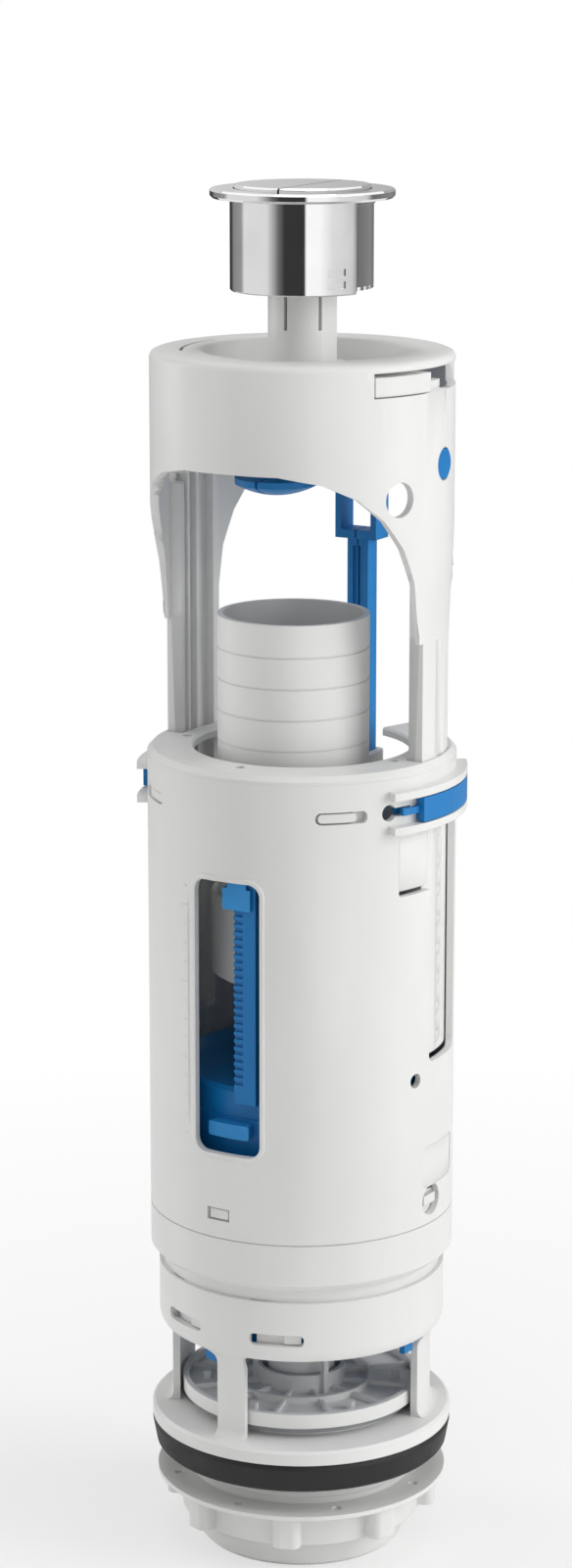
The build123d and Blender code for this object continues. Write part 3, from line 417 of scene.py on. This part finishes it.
def makeTaperedHead(taper):
    # the head as in the solids, but its skirt runs down to the legs without a step:
    # radius = inner + (outer - inner) * smoothstep of the height above the foot of the arch
    mesh = frame["nodes"]["bridge_head"].data.copy()
    mesh.name = "bridge_head_tapered"
    shape = bmesh.new()
    shape.from_mesh(mesh)
    bmesh.ops.remove_doubles(shape, verts=shape.verts, dist=taper["weldBefore"] * mm)
    rings = np.linspace(taper["low"], taper["high"], taper["rings"]) + taper["ringShift"]
    for height in rings:
        bmesh.ops.bisect_plane(shape, geom=[*shape.verts, *shape.edges, *shape.faces],
                               dist=taper["onPlaneMetres"],
                               plane_co=(0, 0, height * mm), plane_no=(0, 0, 1))
    for vertex in shape.verts:
        radius = math.hypot(vertex.co.x, vertex.co.y) / mm
        share = (vertex.co.z / mm - taper["low"]) / (taper["high"] - taper["low"])
        if radius > taper["outer"] - taper["near"] and -taper["belowFoot"] < share < 1:
            share = max(share, 0)
            smoothstep = share * share * (3 - 2 * share)
            wanted = taper["inner"] + (taper["outer"] - taper["inner"]) * smoothstep
            vertex.co.x *= wanted / radius
            vertex.co.y *= wanted / radius
    bmesh.ops.remove_doubles(shape, verts=shape.verts, dist=taper["weldAfter"] * mm)
    bmesh.ops.dissolve_degenerate(shape, edges=shape.edges, dist=taper["smallest"] * mm)
    shape.to_mesh(mesh)
    shape.free()
    mesh.shade_smooth()
    mesh.set_sharp_from_angle(angle=math.radians(taper["crease"]))
    mesh.materials.clear()
    mesh.materials.append(finishes["white_plastic"])
    head = addObject("bridge_head_tapered", mesh)
    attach(head, "head")
    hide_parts("bridge_head")


makeTaperedHead(headTaper)
print("moulded details made")

# lengths in metres, apart from the size of the dust
studio = {
    "floorSize": 60.0, "floorDark": "F4F4F3", "floorLight": "F6F6F6", "dustMm": 180,
    "floorGlow": 0.5, "floorNear": 0.1, "floorFar": 0.42, "ambient": 0.54,
    "reflectorRadius": 0.8, "reflectorHeight": 0.8, "reflectorSteps": 96,
    "upperFrom": 0.37, "upperBlend": 0.03, "aimHeight": 0.18,
}

# what the plating mirrors: bands round the studio, by angle from the camera towards its right
reflectorBands = [
    (-180, "303030"), (-150, "404040"), (-138, "868686"), (-112, "909090"),
    (-104, "DADADA"), (-58, "DBDBDB"), (-38, "6A6A6A"), (-28, "363636"),
    (3, "343434"), (6, "FCFCFC"), (28, "FAFAFA"), (48, "DDDDDD"),
    (86, "C8C8C8"), (96, "6C6C6C"), (140, "868686"), (180, "606060"),
]
# and above them, what the button's flat top mirrors
upperBands = [
    (-180, "C2C2C2"), (-175, "D6D6D6"), (-100, "D6D6D6"), (100, "A6A6A6"),
    (175, "A8A8A8"), (180, "C2C2C2"),
]

# angles in degrees, distance and height in millimetres, focal length and image in pixels
cameraView = {
    "turn": 29.0, "distance": 953.6, "height": 428.1, "down": 13.244, "aside": 0.245,
    "focal": 3906.0, "imageLong": 1600.0, "sensorMm": 36.0, "clipMetres": (0.05, 100),
}


def floorMaterial(name, look):
    # matt white studio floor that shows full white away from the object and its shadow
    material, tree, output, place = startMaterial(name)
    dust = noiseField(tree, place, look["dustMm"], 2.0)
    away = addNode(tree, "ShaderNodeVectorMath", links={0: place}, operation="LENGTH")
    fade = addNode(tree, "ShaderNodeMapRange",
                   {"From Min": look["floorNear"], "From Max": look["floorFar"],
                    "To Min": look["floorGlow"], "To Max": 1.0},
                   {"Value": away.outputs["Value"]})
    diffuse = addNode(tree, "ShaderNodeBsdfDiffuse",
                      links={"Color": twoTone(tree, dust, look["floorDark"], look["floorLight"])})
    glow = addNode(tree, "ShaderNodeEmission", {"Color": (1, 1, 1, 1), "Strength": 1.0})
    path = addNode(tree, "ShaderNodeLightPath")
    seen = addNode(tree, "ShaderNodeMath",
                   links={0: path.outputs["Is Camera Ray"],
                          1: path.outputs["Is Transmission Ray"]}, operation="MAXIMUM")
    share = addNode(tree, "ShaderNodeMath",
                    links={0: seen.outputs["Value"], 1: fade.outputs["Result"]},
                    operation="MULTIPLY")
    lit = addNode(tree, "ShaderNodeMixShader", links={"Fac": share.outputs["Value"]})
    tree.links.new(diffuse.outputs["BSDF"], lit.inputs[1])
    tree.links.new(glow.outputs["Emission"], lit.inputs[2])
    tree.links.new(lit.outputs["Shader"], output.inputs["Surface"])
    return material


def makeFloor(look):
    # flat square, far wider than the view
    half = look["floorSize"] / 2
    corners = [(-half, -half, 0), (half, -half, 0), (half, half, 0), (-half, half, 0)]
    mesh = bpy.data.meshes.new("studio_floor")
    mesh.from_pydata(corners, [], [(0, 1, 2, 3)])
    mesh.materials.append(floorMaterial("studioFloor", look))
    floor = addObject("studio_floor", mesh)


def angleRamp(tree, share, bands):
    # colour by the share of a turn, from pairs of degrees and hex
    ramp = addNode(tree, "ShaderNodeValToRGB", links={"Fac": share})
    stops = ramp.color_ramp.elements
    while len(stops) < len(bands):
        stops.new(0.5)
    for stop, (degrees, colour) in zip(stops, bands):
        stop.position = (degrees + 180) / 360
        stop.color = linear(colour)
    return ramp.outputs["Color"]


def bandMaterial(name, bands, upper, look, turn):
    # light and dark studio walls, told by the angle round the object and by height
    material, tree, output, place = startMaterial(name)
    axes = addNode(tree, "ShaderNodeSeparateXYZ", links={"Vector": place})
    flipped = addNode(tree, "ShaderNodeMath", {1: -1.0}, {0: axes.outputs["Y"]},
                      operation="MULTIPLY")
    angle = addNode(tree, "ShaderNodeMath",
                    links={0: axes.outputs["X"], 1: flipped.outputs["Value"]},
                    operation="ARCTAN2")
    shifted = addNode(tree, "ShaderNodeMath", {1: math.pi - math.radians(turn)},
                      {0: angle.outputs["Value"]}, operation="ADD")
    share = addNode(tree, "ShaderNodeMath", {1: 1 / (2 * math.pi)}, {0: shifted.outputs["Value"]},
                    operation="MULTIPLY")
    wrapped = addNode(tree, "ShaderNodeMath", links={0: share.outputs["Value"]}, operation="FRACT")
    rise = addNode(tree, "ShaderNodeMapRange",
                   {"From Min": look["upperFrom"],
                    "From Max": look["upperFrom"] + look["upperBlend"]},
                   {"Value": axes.outputs["Z"]})
    both = addNode(tree, "ShaderNodeMix",
                   links={0: rise.outputs["Result"],
                          6: angleRamp(tree, wrapped.outputs["Value"], bands),
                          7: angleRamp(tree, wrapped.outputs["Value"], upper)}, data_type="RGBA")
    glow = addNode(tree, "ShaderNodeEmission", {"Strength": 1.0}, {"Color": both.outputs[2]})
    tree.links.new(glow.outputs["Emission"], output.inputs["Surface"])
    return material


def makeReflectors(look, bands, upper):
    # round wall of studio reflectors, seen by the mirror finish alone
    steps = np.linspace(0, 2 * math.pi, look["reflectorSteps"] + 1)[:-1]
    rows = [onTube(look["reflectorRadius"], steps, z) for z in (0.0, look["reflectorHeight"])]
    mesh = bpy.data.meshes.new("studio_reflectors")
    mesh.from_pydata(np.concatenate(rows).tolist(), [],
                     ringQuads(2, len(steps), False, True).tolist())
    material = bandMaterial("studioReflectors", bands, upper, look, cameraView["turn"])
    mesh.materials.append(material)
    wall = addObject("studio_reflectors", mesh)
    wall.visible_camera = False
    wall.visible_diffuse = False
    wall.visible_shadow = False
    wall.visible_transmission = False


makeFloor(studio)
makeReflectors(studio, reflectorBands, upperBands)


def makeWorld(look):
    # white room: plain ambient light, and full white where it is seen or mirrored
    world = bpy.data.worlds.new("studioRoom")
    bpy.context.scene.world = world
    world.use_nodes = True
    tree = world.node_tree
    tree.nodes.clear()
    path = addNode(tree, "ShaderNodeLightPath")
    seen = addNode(tree, "ShaderNodeMath",
                   links={0: path.outputs["Is Camera Ray"], 1: path.outputs["Is Glossy Ray"]},
                   operation="MAXIMUM")
    shown = addNode(tree, "ShaderNodeMath",
                    links={0: seen.outputs["Value"], 1: path.outputs["Is Transmission Ray"]},
                    operation="MAXIMUM")
    level = addNode(tree, "ShaderNodeMapRange", {"To Min": look["ambient"], "To Max": 1.0},
                    {"Value": shown.outputs["Value"]})
    glow = addNode(tree, "ShaderNodeBackground", {"Color": (1, 1, 1, 1)},
                   {"Strength": level.outputs["Result"]})
    output = addNode(tree, "ShaderNodeOutputWorld")
    tree.links.new(glow.outputs["Background"], output.inputs["Surface"])


makeWorld(studio)

# softboxes: turn from the camera towards its right and rise in degrees, metres and watts
softboxes = {
    "key": {"turn": 74, "rise": 20, "away": 1.5, "size": (0.9, 1.3), "watts": 13},
    "rim": {"turn": -112, "rise": 12, "away": 1.5, "size": (0.6, 1.3), "watts": 7},
    "top": {"turn": 10, "rise": 72, "away": 1.6, "size": (1.2, 1.2), "watts": 4},
}


def makeSoftbox(name, box):
    # area lamp aimed at the middle of the object
    data = bpy.data.lights.new(name, "AREA")
    data.shape = "RECTANGLE"
    data.size, data.size_y = box["size"]
    data.energy = box["watts"]
    lamp = addObject(name, data)
    turn, rise = math.radians(cameraView["turn"] + box["turn"]), math.radians(box["rise"])
    away = Vector((math.sin(turn) * math.cos(rise), -math.cos(turn) * math.cos(rise),
                   math.sin(rise)))
    lamp.location = Vector((0, 0, studio["aimHeight"])) + away * box["away"]
    lamp.rotation_mode = "QUATERNION"
    lamp.rotation_quaternion = (-away).to_track_quat("-Z", "Y")


for name, box in softboxes.items():
    makeSoftbox(name, box)


def makeCamera(view):
    # stands where the photograph was taken from and looks a little to the left of the axis
    data = bpy.data.cameras.new("photoCamera")
    data.sensor_width = view["sensorMm"]
    data.lens = view["focal"] / view["imageLong"] * view["sensorMm"]
    data.clip_start, data.clip_end = view["clipMetres"]
    camera = addObject("photoCamera", data)
    turn = math.radians(view["turn"])
    camera.location = Vector((math.sin(turn), -math.cos(turn), 0)) * view["distance"] * mm
    camera.location.z = view["height"] * mm
    camera.rotation_euler = (math.radians(90 - view["down"]), 0, turn + math.radians(view["aside"]))
    bpy.context.scene.camera = camera


makeCamera(cameraView)
bpy.context.scene.view_settings.view_transform = "Standard"
print("studio and camera made")
